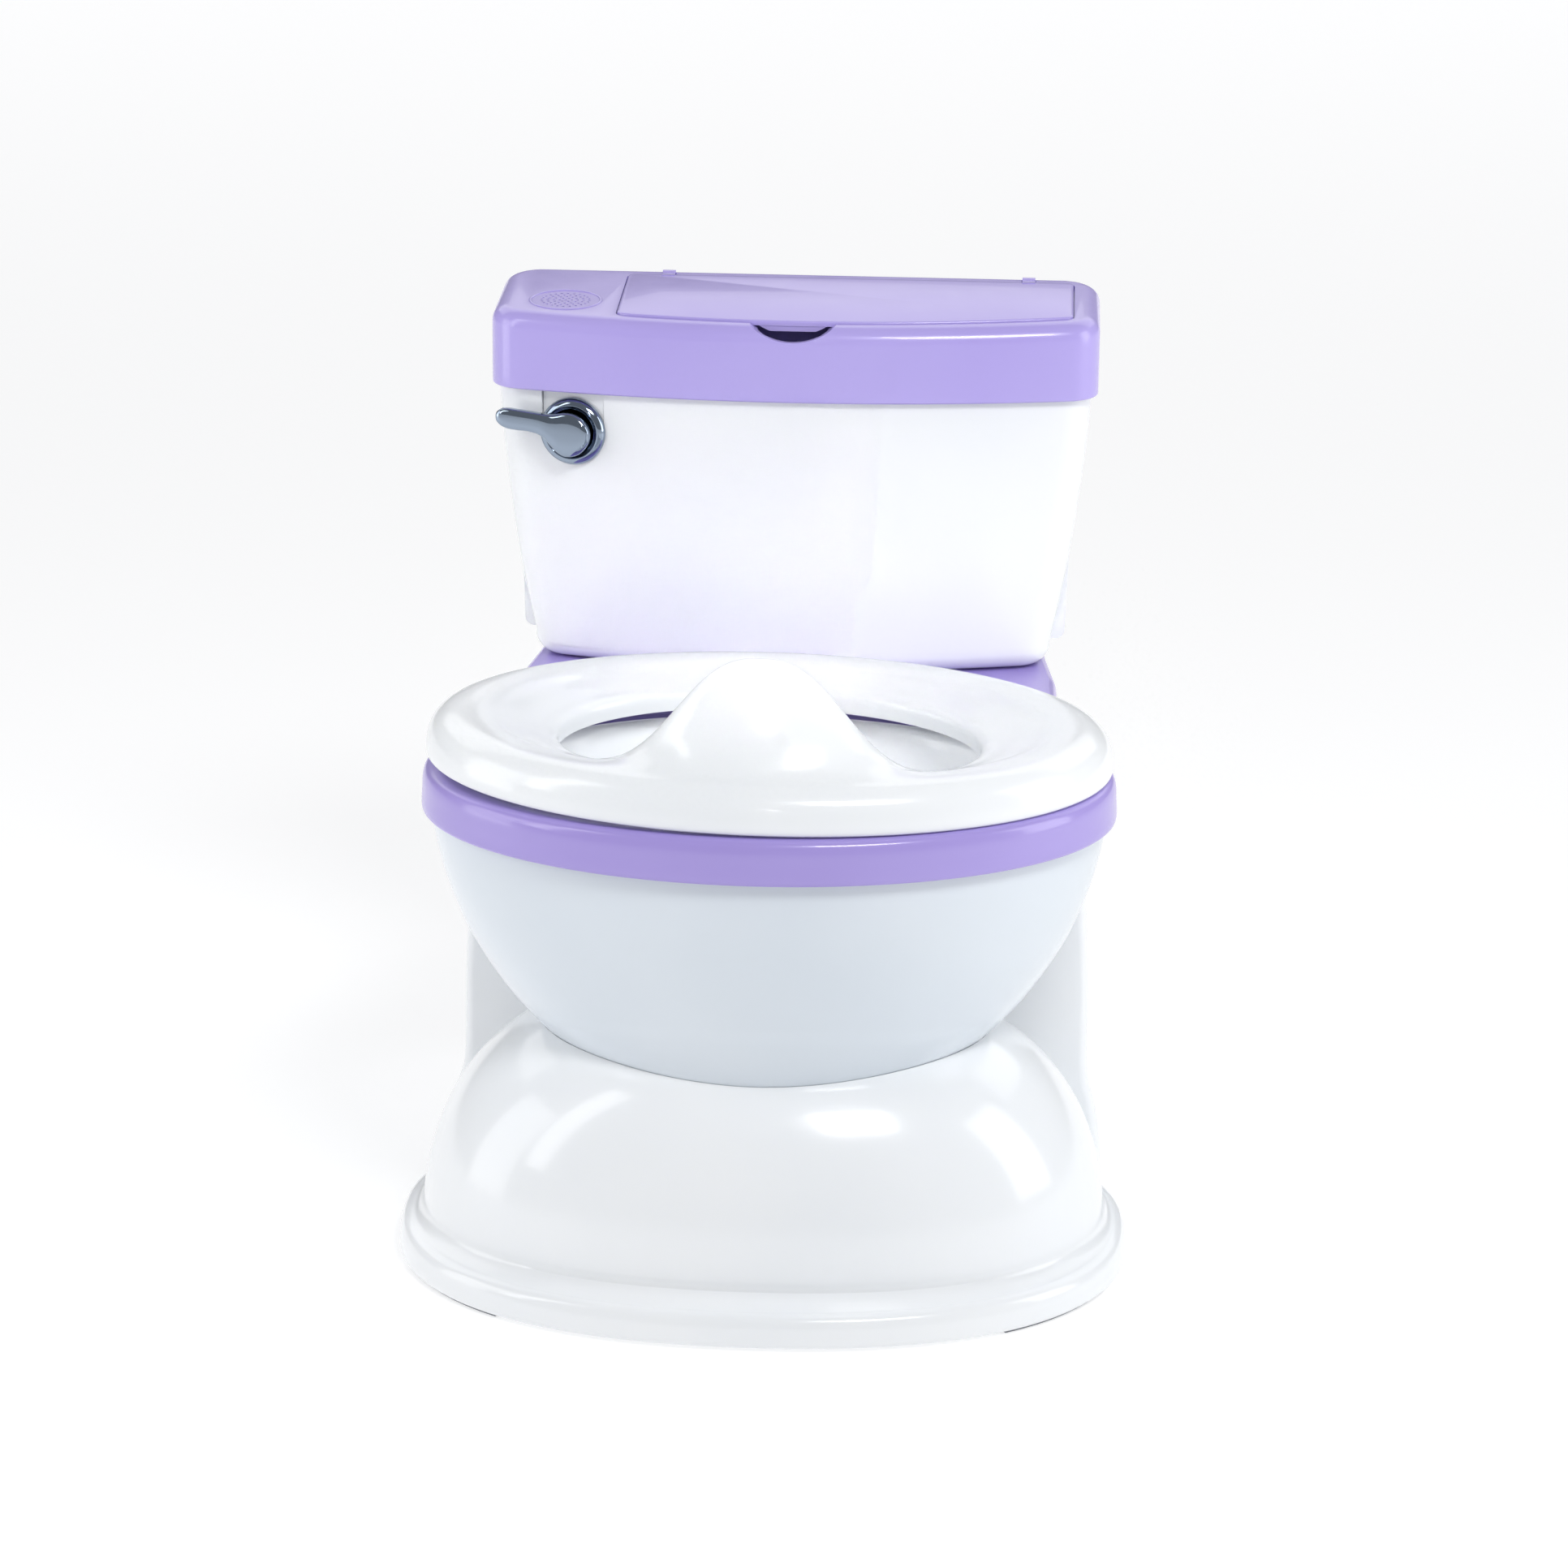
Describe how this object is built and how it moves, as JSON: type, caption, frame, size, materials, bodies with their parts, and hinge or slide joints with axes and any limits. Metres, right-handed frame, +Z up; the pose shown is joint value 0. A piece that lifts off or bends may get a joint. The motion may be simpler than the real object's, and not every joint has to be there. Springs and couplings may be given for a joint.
{
  "type": "potty training chair",
  "caption": "Child's potty chair shaped like a small toilet: round bowl on a domed foot, lift-off splash-guard seat and pot, tank with flush lever and hinged wipes door.",
  "frame": {"origin": "on the floor, at the middle of the bounding box", "axes": "+Z up; -Y is the front, where the child's knees point; +X is to the right as seen from the front"},
  "size_m": [0.3034, 0.36, 0.3639],
  "materials": {
    "white_plastic": "glossy white moulded polypropylene",
    "lilac_plastic": "glossy lilac moulded polypropylene",
    "chrome": "bright chrome plate on plastic",
    "steel": "plain steel wire and screws",
    "grey_rubber": "matt anti-slip rubber",
    "black_plastic": "satin black",
    "circuit_green": "green solder mask",
    "battery_wrap": "plain blue printed film"
  },
  "bodies": {
    "chair": {"base_shell": "white_plastic", "bowl_shell": "white_plastic", "deck": "lilac_plastic", "tank_shell": "white_plastic", "tank_lid": "lilac_plastic", "wipes_tray": "lilac_plastic", "door_pin_left": "steel", "door_pin_right": "steel", "lever_plate": "white_plastic", "escutcheon": "chrome", "lever_spring": "steel", "switch_body": "black_plastic", "circuit_board": "circuit_green", "board_screw_lower": "steel", "board_screw_upper": "steel", "speaker": "black_plastic", "battery_box": "black_plastic", "battery_left": "battery_wrap", "battery_right": "battery_wrap", "pad_front_left": "grey_rubber", "pad_front_right": "grey_rubber", "pad_rear_left": "grey_rubber", "pad_rear_right": "grey_rubber", "lid_screw_left": "steel", "lid_screw_right": "steel", "deck_screw_left": "steel", "deck_screw_right": "steel", "tank_screw_front_left": "steel", "tank_screw_front_right": "steel", "tank_screw_rear_left": "steel", "tank_screw_rear_right": "steel"},
    "pot": {"pot": "white_plastic"},
    "seat": {"seat": "white_plastic"},
    "wipes_door": {"wipes_door": "lilac_plastic"},
    "flush_lever": {"flush_lever": "chrome", "lever_crank": "white_plastic", "crank_screw": "steel"},
    "switch_plunger": {"switch_plunger": "white_plastic"},
    "battery_cover": {"battery_cover": "white_plastic", "battery_cover_screw": "steel"}
  },
  "joints": [
    {"name": "pot_lift", "type": "slide", "parent": "chair", "child": "pot", "axis": [0, 0, 1], "range_m": [0, 0.14]},
    {"name": "seat_lift", "type": "slide", "parent": "pot", "child": "seat", "axis": [0, 0, 1], "range_m": [0, 0.08]},
    {"name": "wipes_door_hinge", "type": "hinge", "parent": "chair", "child": "wipes_door", "pos_m": [0.02065, 0.1715, 0.36087], "axis": [-1, 0, 0], "range_deg": [0, 100]},
    {"name": "flush_lever_hinge", "type": "hinge", "parent": "chair", "child": "flush_lever", "pos_m": [-0.0949, 0.1006, 0.3069], "axis": [-0.223, -0.9748, 0], "range_deg": [0, 20], "stiffness_Nm_per_rad": 0.05, "springref_deg": -11.46},
    {"name": "switch_plunger_slide", "type": "slide", "parent": "chair", "child": "switch_plunger", "axis": [0, 0, -1], "range_m": [0, 0.00345]},
    {"name": "battery_cover_slide", "type": "slide", "parent": "chair", "child": "battery_cover", "axis": [0, 1, 0], "range_m": [0, 0.03]}
  ],
  "couplings": [
    {"joint": "switch_plunger_slide", "follows": "flush_lever_hinge", "m_per_rad": 0.0098}
  ]
}
